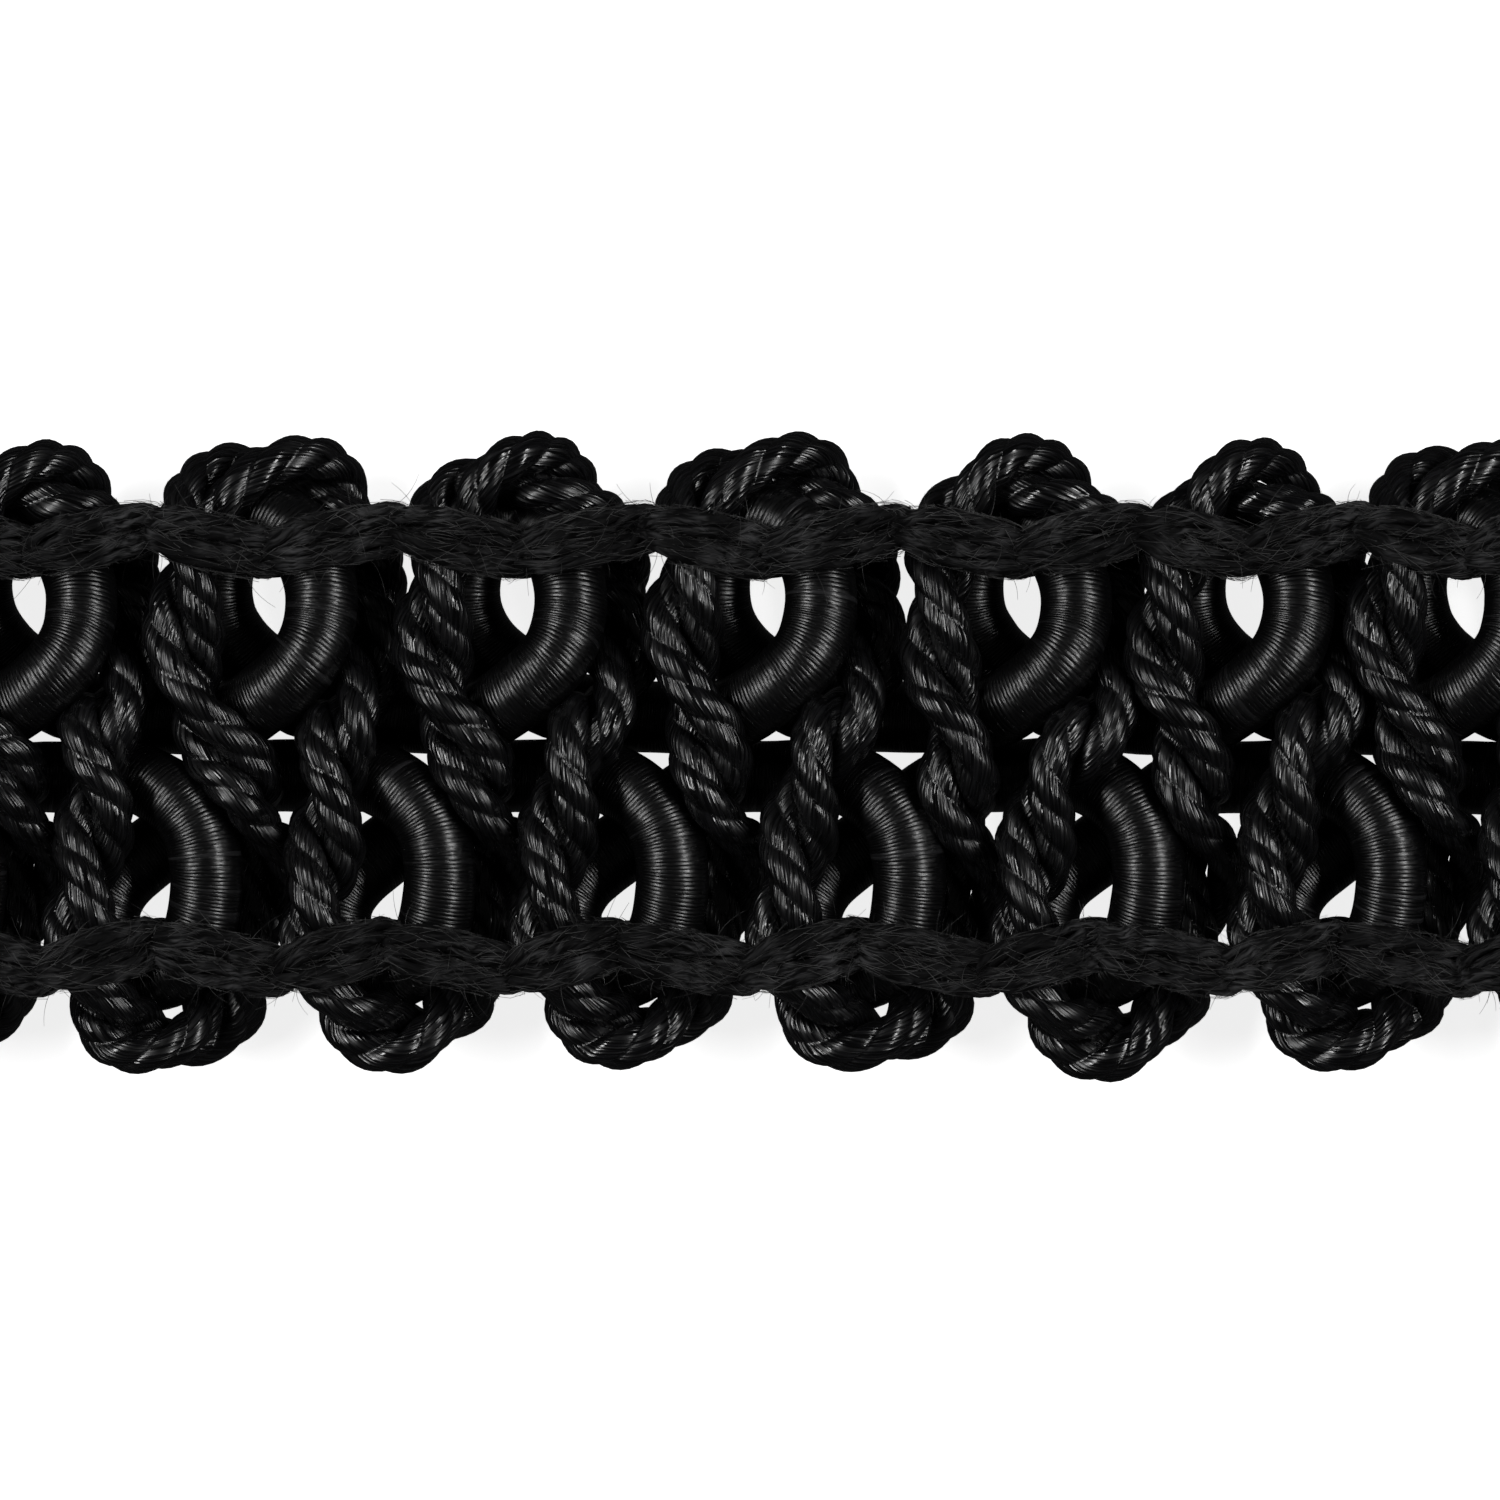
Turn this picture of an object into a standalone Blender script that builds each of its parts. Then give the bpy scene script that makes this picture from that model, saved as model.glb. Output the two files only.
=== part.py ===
"""A cut length of black scroll gimp braid, lying flat with its face up.

Two thick wrapped gimp cords run in open loops, one row of loops along each edge. A pair of thin twisted
cords, wound round each other, goes round the loops of both rows in turn, and a chain stitch of matt spun
yarn runs along each row. X is along the braid, Y across it and Z up through its thickness.
"""

import math
from collections import namedtuple

import bmesh
import bpy
import numpy as np

# Radii of the real strands, in metres. The real ones touch; the solids here are thinner by half the
# clearance on every side, so that each keeps it to its neighbours.
GIMP_RADIUS = 0.00086
CORD_RADIUS = 0.00049
YARN_RADIUS = 0.00030
CLEARANCE = 0.00034

# The two rows of loops: the middle of each loop, the width of its rounded end and how far out it
# reaches, both as a share of the usual loop, and how far the winding of the pair is ahead there, in
# half turns.
Head = namedtuple("Head", "centre width reach wind")
TOP_HEADS = (
    Head(-0.01803, 0.94, 0.960, 0.00),
    Head(-0.01211, 0.97, 1.000, -0.20),
    Head(-0.00593, 0.94, 0.980, 0.00),
    Head(0.00024, 1.00, 1.000, -0.10),
    Head(0.00654, 0.90, 0.975, 0.15),
    Head(0.01205, 0.91, 0.965, 0.10),
    Head(0.01753, 0.95, 0.985, -0.20),
)
BOTTOM_HEADS = (
    Head(-0.02063, 0.92, 0.990, 0.00),
    Head(-0.01482, 0.92, 1.020, 0.15),
    Head(-0.00907, 0.92, 0.995, -0.10),
    Head(-0.00334, 0.90, 0.980, 0.00),
    Head(0.00259, 1.00, 1.000, 0.10),
    Head(0.00847, 0.92, 1.030, -0.15),
    Head(0.01445, 0.91, 0.995, 0.00),
    Head(0.02037, 0.90, 0.990, 0.10),
)

# The way of each strand through one loop, left to right as it runs: how far to the right of the loop's
# middle, how far out from the braid's middle line, and how high it starts, from 0 at the back to 1.
Spot = namedtuple("Spot", "across out height")
TOP_GIMP = (
    Spot(-0.00210, 0.00076, 0.00),
    Spot(-0.00111, 0.00085, 0.30),
    Spot(-0.00030, 0.00120, 0.85),
    Spot(0.00052, 0.00183, 1.00),
    Spot(0.00106, 0.00245, 0.95),
    Spot(0.00133, 0.00316, 0.80),
    Spot(0.00140, 0.00390, 0.70),
    Spot(0.00125, 0.00469, 0.50),
    Spot(0.00080, 0.00548, 0.30),
    Spot(0.00000, 0.00583, 0.20),
    Spot(-0.00080, 0.00553, 0.10),
    Spot(-0.00130, 0.00474, 0.00),
    Spot(-0.00141, 0.00390, 0.00),
    Spot(-0.00128, 0.00311, 0.00),
    Spot(-0.00089, 0.00242, 0.00),
    Spot(-0.00025, 0.00178, 0.00),
    Spot(0.00054, 0.00110, 0.00),
    Spot(0.00153, 0.00086, 0.00),
)
BOTTOM_GIMP = (
    Spot(-0.00198, 0.00022, 0.00),
    Spot(-0.00111, 0.00018, 0.30),
    Spot(-0.00030, 0.00036, 0.85),
    Spot(0.00040, 0.00084, 1.00),
    Spot(0.00094, 0.00153, 1.00),
    Spot(0.00121, 0.00242, 0.90),
    Spot(0.00124, 0.00341, 0.70),
    Spot(0.00109, 0.00435, 0.50),
    Spot(0.00069, 0.00509, 0.30),
    Spot(0.00000, 0.00536, 0.20),
    Spot(-0.00079, 0.00509, 0.10),
    Spot(-0.00128, 0.00435, 0.00),
    Spot(-0.00131, 0.00366, 0.00),
    Spot(-0.00104, 0.00306, 0.00),
    Spot(-0.00044, 0.00247, 0.00),
    Spot(0.00030, 0.00188, 0.00),
    Spot(0.00114, 0.00112, 0.00),
    Spot(0.00207, 0.00044, 0.00),
)
TOP_PAIR = (
    Spot(-0.00163, 0.00077, 1.00),
    Spot(-0.00190, 0.00163, 1.00),
    Spot(-0.00210, 0.00262, 1.00),
    Spot(-0.00217, 0.00385, 1.00),
    Spot(-0.00214, 0.00484, 0.80),
    Spot(-0.00212, 0.00558, 0.60),
    Spot(-0.00182, 0.00618, 0.55),
    Spot(-0.00130, 0.00672, 0.50),
    Spot(-0.00052, 0.00702, 0.45),
    Spot(0.00030, 0.00705, 0.40),
    Spot(0.00110, 0.00684, 0.30),
    Spot(0.00176, 0.00642, 0.15),
    Spot(0.00217, 0.00590, 0.00),
    Spot(0.00233, 0.00506, 0.00),
    Spot(0.00255, 0.00395, 0.00),
    Spot(0.00250, 0.00272, 0.20),
    Spot(0.00212, 0.00153, 0.60),
    Spot(0.00170, 0.00077, 1.00),
)
BOTTOM_PAIR = (
    Spot(-0.00138, 0.00084, 1.00),
    Spot(-0.00158, 0.00158, 1.00),
    Spot(-0.00168, 0.00242, 1.00),
    Spot(-0.00185, 0.00356, 1.00),
    Spot(-0.00193, 0.00430, 0.80),
    Spot(-0.00188, 0.00509, 0.60),
    Spot(-0.00151, 0.00574, 0.55),
    Spot(-0.00109, 0.00640, 0.50),
    Spot(-0.00047, 0.00665, 0.45),
    Spot(0.00020, 0.00678, 0.40),
    Spot(0.00092, 0.00662, 0.30),
    Spot(0.00148, 0.00620, 0.15),
    Spot(0.00193, 0.00583, 0.00),
    Spot(0.00227, 0.00504, 0.00),
    Spot(0.00257, 0.00405, 0.00),
    Spot(0.00269, 0.00287, 0.20),
    Spot(0.00252, 0.00163, 0.60),
    Spot(0.00232, 0.00077, 1.00),
)
APEX_PLACE = 8.6  # where on the pair's table its loop reaches furthest out
BACK_Z = 0.00090
FRONT_Z = 0.00300
ROUNDED_FROM = 0.0037  # the loops' ends take their own width from here outwards
ROUNDED_OVER = 0.0025
GIMP_END = 0.0011  # how far a gimp runs on past its first and last loop

# The pair of twisted cords: its half turns from a top loop to the next bottom one and on to the next
# top one, and how far each cord swings to the side and up and down from the line between them.
TURNS_DOWN = 6.43
TURNS_UP = 5.57
TURNS_AT_TOP = 0.27
SWING_SIDE = 0.00049
SWING_RISE = 0.00046

# How the strands settle against each other.
STEP = 0.00040
ROUNDS = 420
SEARCH_EVERY = 20
SIDEWAYS = 0.10
FROM_POST = 0.6
CROWD = 1.5
RETURN_SHARE = 0.02
SINK = 0.000012
SINK_ROUNDS = 180
SMOOTHING = 0.25
POST_TOP = 0.0045

# The chain stitches: where their joints lie, outwards from the braid's middle line, at a loop's middle and
# between two loops, for each row. A joint's post goes through the braid to the float on its back. The upper
# chain runs on by one joint past its first and last loop, so that it is cut where the lower one is.
Chain = namedtuple("Chain", "side loop_joint loop_post gap_joint gap_post shift run_on")
TOP_CHAIN = Chain(1, 0.00500, 0.00464, 0.00565, 0.00583, -0.00012, True)
BOTTOM_CHAIN = Chain(-1, 0.00462, 0.00425, 0.00532, 0.00550, -0.00025, False)
STITCH_WIDE = 0.00068
JOINT_WIDE = 0.00042
STITCH_GROOVE = 0.45
STITCH_STEPS = (0.0, 0.14, 0.32, 0.5, 0.68, 0.86)
POST_RADIUS = 0.00015
FLOAT_WIDTH = 0.00050
FLOAT_THICK = 0.00030
FLOAT_LIFT = 0.00045
LIFT_REACH = 0.00115
LIFT_RAMP = 0.00080

# How coarse the solids are: a ring wherever a strand has turned this far, or has run this far straight.
RING_TURN = math.radians(22)
RING_STEP = 0.0014

MATERIALS = {
    "gimp_satin": ((0.012, 0.012, 0.013), 0.38),
    "cord_rayon": ((0.010, 0.010, 0.011), 0.32),
    "chain_yarn": ((0.014, 0.014, 0.015), 0.85),
}


def lengths_along(line):
    return np.concatenate([[0], np.cumsum(np.linalg.norm(np.diff(line, axis=0), axis=1))])


def smooth_line(spots, step):
    """A smooth curve through the spots, with a point every step."""
    spots = np.array(spots)
    along = lengths_along(spots)
    slopes = np.gradient(spots, along, axis=0)
    at = np.linspace(0, along[-1], round(along[-1] / step) + 1)
    first = np.clip(np.searchsorted(along, at, side="right") - 1, 0, len(spots) - 2)
    span = (along[first + 1] - along[first])[:, None]
    u = (at - along[first])[:, None] / span
    return (
        spots[first] * (1 + 2 * u) * (1 - u) ** 2
        + slopes[first] * span * u * (1 - u) ** 2
        + spots[first + 1] * u * u * (3 - 2 * u)
        + slopes[first + 1] * span * u * u * (u - 1)
    )


def evened(line):
    along = lengths_along(line)
    at = np.linspace(0, along[-1], round(along[-1] / STEP) + 1)
    return np.stack([np.interp(at, along, line[:, axis]) for axis in range(3)], axis=1)


def placed(head, side, spot):
    rounded = min(max((spot.out - ROUNDED_FROM) / ROUNDED_OVER, 0.0), 1.0)
    x = head.centre + spot.across * head.width**rounded
    z = BACK_Z + (FRONT_Z - BACK_Z) * spot.height
    return (x, side * spot.out * head.reach, z)


def gimp_line(heads, side, loop):
    spots = [placed(head, side, spot) for head in heads for spot in loop]
    run_on = np.array([GIMP_END, 0, 0])
    return smooth_line([spots[0] - run_on] + spots + [spots[-1] + run_on], STEP)


def pair_line():
    """The line that the pair of cords follows, and its half turns at each point of it."""
    rows = [(head, 1, TOP_PAIR) for head in TOP_HEADS] + [(head, -1, BOTTOM_PAIR) for head in BOTTOM_HEADS]
    rows.sort(key=lambda row: row[0].centre)
    spots, marks, turns = [], [], TURNS_AT_TOP - TURNS_UP
    for head, side, loop in rows:
        marks.append((len(spots) + APEX_PLACE, turns + head.wind))
        turns += TURNS_DOWN if side > 0 else TURNS_UP
        spots += [placed(head, side, spot) for spot in loop]
    line = smooth_line(spots, STEP)
    along = lengths_along(np.array(spots))
    marked = np.interp([place for place, _ in marks], np.arange(len(spots)), along)
    counted = np.array([count for _, count in marks])
    rate = (counted[-1] - counted[0]) / (marked[-1] - marked[0])
    marked = np.concatenate([[0], marked, [along[-1]]])
    first = counted[0] - rate * (marked[1] - marked[0])
    last = counted[-1] + rate * (marked[-1] - marked[-2])
    counted = np.concatenate([[first], counted, [last]])
    at = np.linspace(0, along[-1], len(line))
    return line, np.interp(at, marked, counted)


def wound_cord(line, turns, which):
    """One of the two cords that are wound round each other along the line."""
    ahead = np.gradient(line, axis=0)
    ahead /= np.linalg.norm(ahead, axis=1)[:, None]
    left = np.stack([-ahead[:, 1], ahead[:, 0], np.zeros(len(line))], axis=1)
    left /= np.linalg.norm(left, axis=1)[:, None]
    up = np.cross(ahead, left)
    angle = (math.pi / 2 - math.pi * turns)[:, None]
    return evened(line + which * (SWING_SIDE * np.cos(angle) * left + SWING_RISE * np.sin(angle) * up))


def chain_joints(chain, heads):
    """X and the place across the braid of each joint of a chain and of its post, in order along it."""
    at_loop = (chain.side * chain.loop_joint, chain.side * chain.loop_post)
    at_gap = (chain.side * chain.gap_joint, chain.side * chain.gap_post)
    joints = []
    for number, head in enumerate(heads):
        joints.append((head.centre + chain.shift, *at_loop))
        if number + 1 < len(heads):
            joints.append(((head.centre + heads[number + 1].centre) / 2, *at_gap))
    if chain.run_on:
        half = (heads[-1].centre - heads[0].centre) / (len(heads) - 1) / 2
        joints.insert(0, (heads[0].centre - half, *at_gap))
        joints.append((heads[-1].centre + half, *at_gap))
    return joints


def post_points():
    """Points up the posts, which the strands settle round."""
    heights = np.arange(0, POST_TOP, STEP)
    spots = [
        (x, post, z)
        for chain, heads in ((TOP_CHAIN, TOP_HEADS), (BOTTOM_CHAIN, BOTTOM_HEADS))
        for x, _, post in chain_joints(chain, heads)
        for z in heights
    ]
    return np.array(spots)


def near_pairs(points, owner, place, thick):
    """Pairs of points close enough to touch, leaving out those next to each other on one strand."""
    reach = 2 * GIMP_RADIUS + STEP
    order = np.argsort(points[:, 0], kind="stable")
    ends = np.searchsorted(points[order, 0], points[order, 0] + reach)
    ones, twos = [], []
    for k, one in enumerate(order):
        others = order[k + 1 : ends[k]]
        others = others[np.abs(points[others, 1] - points[one, 1]) < reach]
        far = np.abs(place[others] - place[one]) * STEP > 4 * thick[one]
        others = others[(owner[others] != owner[one]) | far]
        ones.append(np.full(len(others), one))
        twos.append(others)
    return np.concatenate(ones), np.concatenate(twos)


def lowest_z(points, thick):
    """How low each point may lie: on the surface, or on the floats of the chains' backs."""
    off = np.minimum(
        np.abs(points[:, 1] - (TOP_CHAIN.loop_post + TOP_CHAIN.gap_post) / 2),
        np.abs(points[:, 1] + (BOTTOM_CHAIN.loop_post + BOTTOM_CHAIN.gap_post) / 2),
    )
    return thick + FLOAT_LIFT * np.clip((LIFT_REACH + LIFT_RAMP - off) / LIFT_RAMP, 0, 1)


def settled(lines, radii):
    """The lines pushed apart, mostly up and down, until the strands round them only touch."""
    posts = post_points()
    sizes = [len(line) for line in lines] + [len(posts)]
    radii = list(radii) + [POST_RADIUS + CLEARANCE / 2]
    owner = np.repeat(np.arange(len(sizes)), sizes)
    place = np.concatenate([np.arange(size) for size in sizes])
    thick = np.repeat(radii, sizes)
    points = np.concatenate(list(lines) + [posts])
    start = points.copy()
    free = owner < len(lines)
    inner = (owner[1:-1] == owner[:-2]) & (owner[1:-1] == owner[2:]) & free[1:-1]
    weight = np.array([SIDEWAYS, SIDEWAYS, 1.0])
    for number in range(ROUNDS):
        if number % SEARCH_EVERY == 0:
            one, two = near_pairs(points, owner, place, thick)
        between = points[two] - points[one]
        distance = np.linalg.norm(between, axis=1)
        short = thick[one] + thick[two] - distance
        hit = short > 0
        push = between[hit] / distance[hit][:, None] * (short[hit] / 2)[:, None]
        posted = (owner[one[hit]] == len(lines)) | (owner[two[hit]] == len(lines))
        push = np.where(posted[:, None], push * FROM_POST, push * weight)
        move = np.zeros_like(points)
        count = np.ones(len(points))
        np.add.at(move, one[hit], -push)
        np.add.at(move, two[hit], push)
        np.add.at(count, one[hit], 1 / 2)
        np.add.at(count, two[hit], 1 / 2)
        move /= np.maximum(count / CROWD, 1)[:, None]
        if number < SINK_ROUNDS:
            move[:, 2] -= SINK
            move[:, :2] += RETURN_SHARE * (start - points)[:, :2]
        points[free] += move[free]
        shift = points - start
        middle = (shift[:-2] + shift[2:]) / 2
        shift[1:-1][inner] += SMOOTHING * (middle - shift[1:-1])[inner]
        points = start + shift
        points[free, 2] = np.maximum(points[free, 2], lowest_z(points[free], thick[free]))
    return np.split(points[free], np.cumsum(sizes[:-2]))


def strand_lines():
    path, turns = pair_line()
    lines = (
        gimp_line(TOP_HEADS, 1, TOP_GIMP),
        gimp_line(BOTTOM_HEADS, -1, BOTTOM_GIMP),
        wound_cord(path, turns, 1),
        wound_cord(path, turns, -1),
    )
    return settled(lines, (GIMP_RADIUS, GIMP_RADIUS, CORD_RADIUS, CORD_RADIUS))


def thinned(line):
    """The points of a line that its rings need: more where it bends, fewer where it runs straight."""
    ahead = np.diff(line, axis=0)
    ahead /= np.linalg.norm(ahead, axis=1)[:, None]
    kept, turned, run = [0], 0.0, 0.0
    for i in range(1, len(line) - 1):
        turned += math.acos(min(1.0, float(ahead[i - 1] @ ahead[i])))
        run += STEP
        if turned >= RING_TURN or run >= RING_STEP:
            kept.append(i)
            turned, run = 0.0, 0.0
    return line[kept + [len(line) - 1]]


def black(name):
    colour, roughness = MATERIALS[name]
    material = bpy.data.materials.get(name) or bpy.data.materials.new(name)
    material.use_nodes = True
    shader = material.node_tree.nodes["Principled BSDF"]
    shader.inputs["Base Color"].default_value = (*colour, 1)
    shader.inputs["Roughness"].default_value = roughness
    shader.inputs["Metallic"].default_value = 0
    return material


def add_strand(name, line, radius, rounding, material, collection):
    """A strand as a curve with a round bevel and filled caps."""
    curve = bpy.data.curves.new(name, "CURVE")
    curve.dimensions = "3D"
    curve.bevel_depth = radius
    curve.bevel_resolution = rounding
    curve.use_fill_caps = True
    spline = curve.splines.new("POLY")
    spline.points.add(len(line) - 1)
    for point, spot in zip(spline.points, line):
        point.co = (*spot, 1)
    spline.use_smooth = True
    strand = bpy.data.objects.new(name, curve)
    curve.materials.append(material)
    collection.objects.link(strand)
    return strand


def height_over(x, y, reach, lines, radii):
    """How high a yarn of this radius lies at a place on the strands."""
    best = FLOAT_THICK
    for line, radius in zip(lines, radii):
        off = np.hypot(line[:, 0] - x, line[:, 1] - y)
        touch = radius + reach
        near = off < touch
        if near.any():
            best = max(best, float((line[near, 2] + np.sqrt(touch**2 - off[near] ** 2)).max()))
    return best


def chain_line(joints, lines, radii):
    """Sections along a chain: X, place across, height, and how wide the stitch is there."""
    sections = []
    for (x0, y0, _), (x1, y1, _) in zip(joints, joints[1:]):
        for share in STITCH_STEPS:
            wide = JOINT_WIDE + (STITCH_WIDE - JOINT_WIDE) * math.sin(math.pi * share)
            sections.append([x0 + (x1 - x0) * share, y0 + (y1 - y0) * share, 0.0, wide])
    sections.append([joints[-1][0], joints[-1][1], 0.0, JOINT_WIDE])
    for section in sections:
        x, y, _, wide = section
        section[2] = max(
            height_over(x, y + leg * wide / 2, YARN_RADIUS, lines, radii) for leg in (-1, 1)
        )
    sections = np.array(sections)
    raised = sections[:, 2].copy()
    for _ in range(3):
        raised[1:-1] = np.maximum(sections[1:-1, 2], (raised[:-2] + raised[2:]) / 2)
    sections[:, 2] = raised
    return sections


def stitch_ring(section, ahead):
    """The outline across a chain stitch: two legs side by side with a groove between them."""
    x, y, z, wide = section
    half = YARN_RADIUS - CLEARANCE / 2
    side = np.array([-ahead[1], ahead[0]]) / np.hypot(*ahead)
    outline = (
        (-1.0, 0.0),
        (-0.6, 1.0),
        (0.0, 1.0 - STITCH_GROOVE),
        (0.6, 1.0),
        (1.0, 0.0),
        (0.6, -1.0),
        (0.0, -1.0 + STITCH_GROOVE),
        (-0.6, -1.0),
    )
    return [(x + side[0] * wide * a, y + side[1] * wide * a, z + half * b) for a, b in outline]


def lofted(name, rings):
    """A closed mesh through rings of equal count, with a cap on each end."""
    mesh = bpy.data.meshes.new(name)
    shape = bmesh.new()
    made = [[shape.verts.new(spot) for spot in ring] for ring in rings]
    count = len(made[0])
    for one, two in zip(made, made[1:]):
        for k in range(count):
            shape.faces.new((one[k], one[(k + 1) % count], two[(k + 1) % count], two[k]))
    shape.faces.new(reversed(made[0]))
    shape.faces.new(made[-1])
    bmesh.ops.recalc_face_normals(shape, faces=shape.faces)
    shape.to_mesh(mesh)
    shape.free()
    return mesh


def add_joined(band, piece, cutters):
    """Joins a helper piece to a chain with a Boolean union."""
    cutters.objects.link(piece)
    piece.hide_render = True
    piece.display_type = "WIRE"
    union = band.modifiers.new(piece.name, "BOOLEAN")
    union.operation = "UNION"
    union.solver = "EXACT"
    union.object = piece


def post_between(name, x, y, top):
    """A round post from the middle of the back float up into a stitch."""
    mesh = bpy.data.meshes.new(name)
    shape = bmesh.new()
    bmesh.ops.create_cone(
        shape,
        cap_ends=True,
        segments=6,
        radius1=POST_RADIUS,
        radius2=POST_RADIUS,
        depth=top - FLOAT_THICK / 2,
    )
    shape.to_mesh(mesh)
    shape.free()
    post = bpy.data.objects.new(name, mesh)
    post.location = (x, y, (top + FLOAT_THICK / 2) / 2)
    return post


def float_mesh(name, joints):
    """The flat run of yarn along the braid's back, from post to post."""
    rings = []
    spots = [(x, post) for x, _, post in joints]
    first, last = spots[0], spots[-1]
    spots[0] = (first[0] - FLOAT_WIDTH, first[1])
    spots[-1] = (last[0] + FLOAT_WIDTH, last[1])
    for x, y in spots:
        low, high = y - FLOAT_WIDTH / 2, y + FLOAT_WIDTH / 2
        rings.append([(x, low, 0), (x, high, 0), (x, high, FLOAT_THICK), (x, low, FLOAT_THICK)])
    return lofted(name, rings)


def add_chain(name, chain, heads, lines, radii, material, collection, cutters):
    joints = chain_joints(chain, heads)
    sections = chain_line(joints, lines, radii)
    ways = np.gradient(sections[:, :2], axis=0)
    rings = [stitch_ring(section, way) for section, way in zip(sections, ways)]
    band = bpy.data.objects.new(name, lofted(name, rings))
    band.data.materials.append(material)
    collection.objects.link(band)
    add_joined(band, bpy.data.objects.new(name + "_float", float_mesh(name + "_float", joints)), cutters)
    for number, (x, _, post) in enumerate(joints):
        height = float(np.interp(x, sections[:, 0], sections[:, 2]))
        add_joined(band, post_between(f"{name}_post_{number}", x, post, height), cutters)
    return band


def main():
    for thing in list(bpy.data.objects):
        bpy.data.objects.remove(thing)
    braid = bpy.data.collections.new("scroll_gimp_braid")
    cutters = bpy.data.collections.new("joined_helpers")
    bpy.context.scene.collection.children.link(braid)
    bpy.context.scene.collection.children.link(cutters)
    cutters.hide_render = True

    lines = strand_lines()
    names = ("gimp_top", "gimp_bottom", "twisted_cord_a", "twisted_cord_b")
    radii = (GIMP_RADIUS, GIMP_RADIUS, CORD_RADIUS, CORD_RADIUS)
    for name, line, radius in zip(names, lines, radii):
        thick = radius > CORD_RADIUS
        material = black("gimp_satin" if thick else "cord_rayon")
        add_strand(name, thinned(line), radius - CLEARANCE / 2, 2 if thick else 1, material, braid)
    yarn = black("chain_yarn")
    add_chain("edge_chain_top", TOP_CHAIN, TOP_HEADS, lines, radii, yarn, braid, cutters)
    add_chain("edge_chain_bottom", BOTTOM_CHAIN, BOTTOM_HEADS, lines, radii, yarn, braid, cutters)


main()
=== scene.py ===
"""The look of a black scroll gimp braid: wrapped gimps, twisted cords and matt chain stitches.

The strands follow the same tables and the same settling as the solids, at their full thickness, so that
they touch. X is along the braid, Y across it and Z up out of its face, in metres.
"""

import math
from collections import namedtuple

import bpy
import numpy as np
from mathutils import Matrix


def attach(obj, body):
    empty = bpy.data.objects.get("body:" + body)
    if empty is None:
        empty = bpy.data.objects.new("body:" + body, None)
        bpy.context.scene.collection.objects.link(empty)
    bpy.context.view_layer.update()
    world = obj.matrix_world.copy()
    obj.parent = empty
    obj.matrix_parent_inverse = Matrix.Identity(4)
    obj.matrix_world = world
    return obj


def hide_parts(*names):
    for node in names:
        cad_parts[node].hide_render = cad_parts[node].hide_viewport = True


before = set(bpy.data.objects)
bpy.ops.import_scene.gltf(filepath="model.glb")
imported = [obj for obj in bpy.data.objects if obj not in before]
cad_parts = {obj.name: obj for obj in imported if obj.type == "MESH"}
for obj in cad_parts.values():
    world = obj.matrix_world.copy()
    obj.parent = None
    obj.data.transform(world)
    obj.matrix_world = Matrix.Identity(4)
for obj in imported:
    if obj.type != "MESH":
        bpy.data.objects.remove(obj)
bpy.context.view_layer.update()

# Radii of the real strands, in metres. They touch each other. The solids are thinner by half the
# clearance on every side, and their posts are given that much more room here too.
GIMP_RADIUS = 0.00086
CORD_RADIUS = 0.00049
YARN_RADIUS = 0.00030
CLEARANCE = 0.00034

# The two rows of loops: the middle of each loop, the width of its rounded end and how far out it
# reaches, both as a share of the usual loop, and how far the winding of the pair is ahead there, in
# half turns.
Head = namedtuple("Head", "centre width reach wind")
TOP_HEADS = (
    Head(-0.01803, 0.94, 0.960, 0.00),
    Head(-0.01211, 0.97, 1.000, -0.20),
    Head(-0.00593, 0.94, 0.980, 0.00),
    Head(0.00024, 1.00, 1.000, -0.10),
    Head(0.00654, 0.90, 0.975, 0.15),
    Head(0.01205, 0.91, 0.965, 0.10),
    Head(0.01753, 0.95, 0.985, -0.20),
)
BOTTOM_HEADS = (
    Head(-0.02063, 0.92, 0.990, 0.00),
    Head(-0.01482, 0.92, 1.020, 0.15),
    Head(-0.00907, 0.92, 0.995, -0.10),
    Head(-0.00334, 0.90, 0.980, 0.00),
    Head(0.00259, 1.00, 1.000, 0.10),
    Head(0.00847, 0.92, 1.030, -0.15),
    Head(0.01445, 0.91, 0.995, 0.00),
    Head(0.02037, 0.90, 0.990, 0.10),
)

# The way of each strand through one loop, left to right as it runs: how far to the right of the loop's
# middle, how far out from the braid's middle line, and how high it starts, from 0 at the back to 1.
Spot = namedtuple("Spot", "across out height")
TOP_GIMP = (
    Spot(-0.00210, 0.00076, 0.00),
    Spot(-0.00111, 0.00085, 0.30),
    Spot(-0.00030, 0.00120, 0.85),
    Spot(0.00052, 0.00183, 1.00),
    Spot(0.00106, 0.00245, 0.95),
    Spot(0.00133, 0.00316, 0.80),
    Spot(0.00140, 0.00390, 0.70),
    Spot(0.00125, 0.00469, 0.50),
    Spot(0.00080, 0.00548, 0.30),
    Spot(0.00000, 0.00583, 0.20),
    Spot(-0.00080, 0.00553, 0.10),
    Spot(-0.00130, 0.00474, 0.00),
    Spot(-0.00141, 0.00390, 0.00),
    Spot(-0.00128, 0.00311, 0.00),
    Spot(-0.00089, 0.00242, 0.00),
    Spot(-0.00025, 0.00178, 0.00),
    Spot(0.00054, 0.00110, 0.00),
    Spot(0.00153, 0.00086, 0.00),
)
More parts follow.
